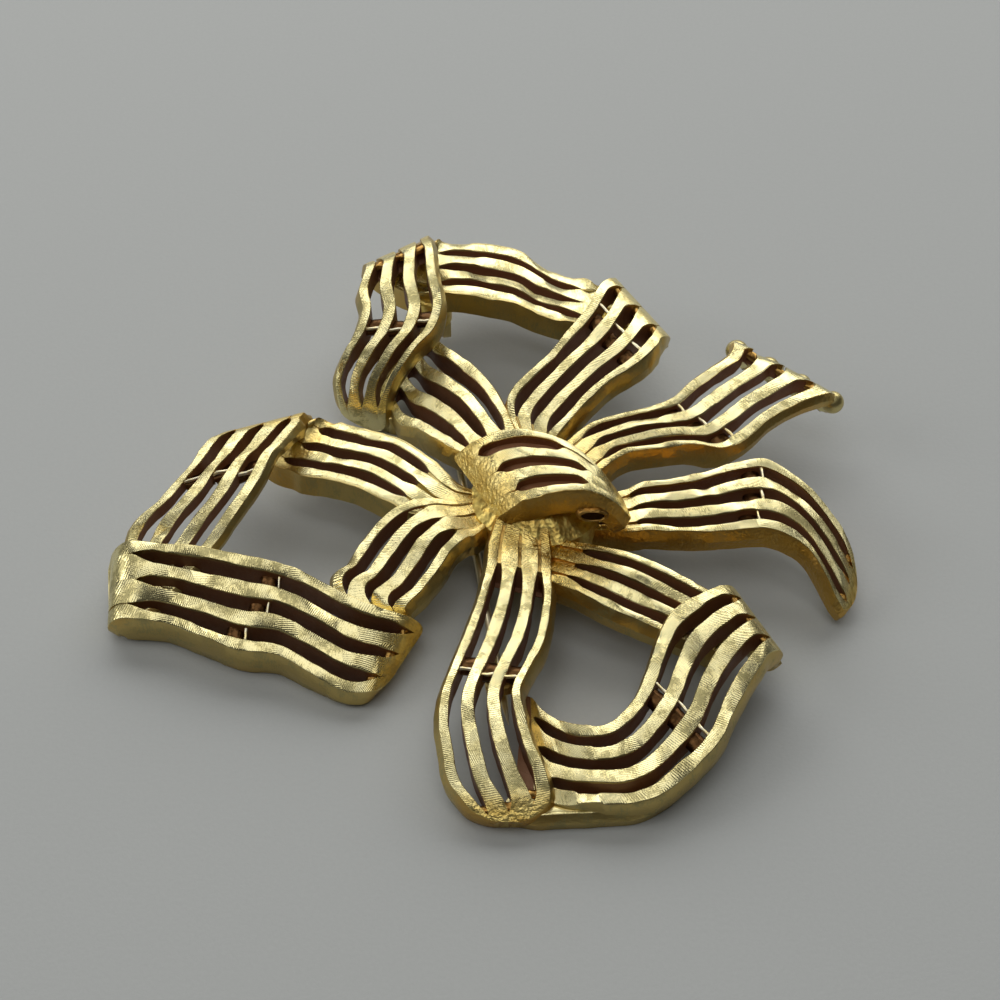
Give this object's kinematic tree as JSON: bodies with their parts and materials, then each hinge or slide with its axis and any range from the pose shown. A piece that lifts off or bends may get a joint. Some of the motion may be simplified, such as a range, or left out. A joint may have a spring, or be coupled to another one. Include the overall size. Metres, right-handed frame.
{
  "type": "bow brooch",
  "caption": "Gold-tone openwork bow brooch: three slotted ribbon loops and two ribbon tails round an arched knot, with a hinged pin and hook catch at the back.",
  "frame": {"origin": "middle of the bow's outline, on the surface that the brooch lies on face up", "axes": "+Z out of the bow's face, +Y towards the upper loop, +X towards the two tails"},
  "size_m": [0.0714, 0.0688, 0.0122],
  "materials": {
    "gold_bow": "bright cut, with fine engraved lines across the strips",
    "gold_knot": "bright cut strips, stippled ends",
    "gold_findings": "satin",
    "stem_wire": "polished wire"
  },
  "bodies": {
    "brooch": {"bow": "gold_bow", "knot": "gold_knot", "pin_hinge": "gold_findings", "pin_catch": "gold_findings"},
    "stem": {"pin_stem": "stem_wire"}
  },
  "joints": [
    {"name": "pin_swing", "type": "hinge", "parent": "brooch", "child": "stem", "pos_m": [-0.0058, 0.02637, 0.00204], "axis": [0.989, 0.1478, 0], "range_deg": [0, 80]}
  ]
}
